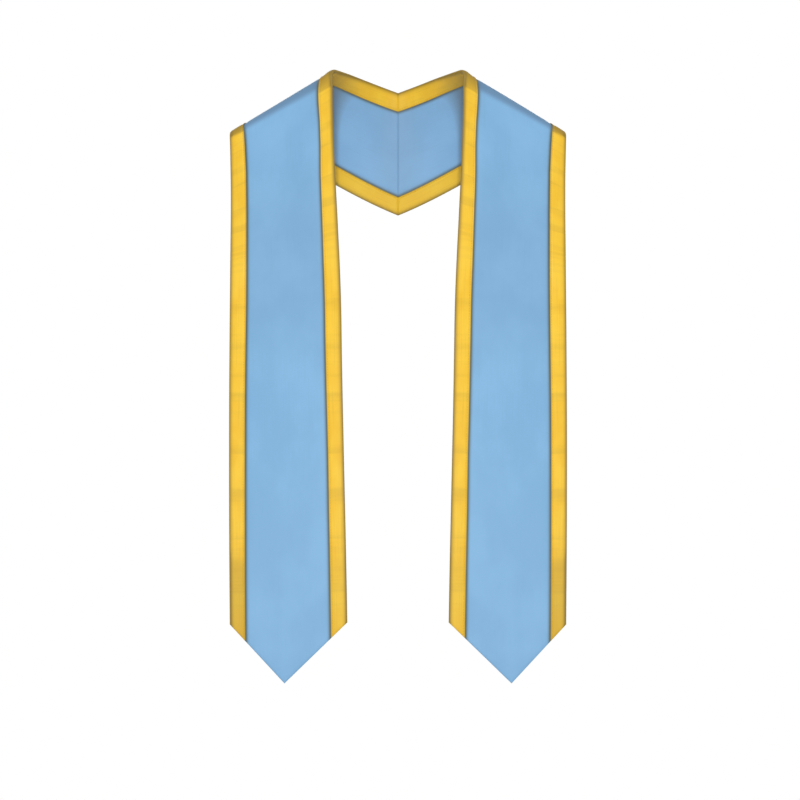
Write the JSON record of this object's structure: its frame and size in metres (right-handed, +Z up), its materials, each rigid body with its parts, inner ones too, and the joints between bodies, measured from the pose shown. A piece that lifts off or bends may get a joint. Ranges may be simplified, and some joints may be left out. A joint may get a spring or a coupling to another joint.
{
  "type": "graduation stole",
  "caption": "Lined satin graduation stole worn round the neck, with mitred back seam, contrast trim folded round both long edges and pointed front ends.",
  "frame": {"origin": "top of the centre back seam, where the stole sits on the nape of the neck", "axes": "+Z up, the front panels face -Y, +X to the right as seen from the front; the two halves mirror each other across X = 0"},
  "size_m": [0.3604, 0.1853, 0.652],
  "materials": {
    "satin_blue": "sky-blue satin with a soft sheen",
    "lining_blue": "sky-blue satin lining",
    "satin_gold": "gold satin trim with a soft sheen"
  },
  "bodies": {
    "root": {"face_left": "satin_blue", "face_right": "satin_blue", "lining_left": "lining_blue", "lining_right": "lining_blue", "neck_trim_left": "satin_gold", "neck_trim_right": "satin_gold", "outer_trim_left": "satin_gold", "outer_trim_right": "satin_gold"}
  },
  "joints": []
}
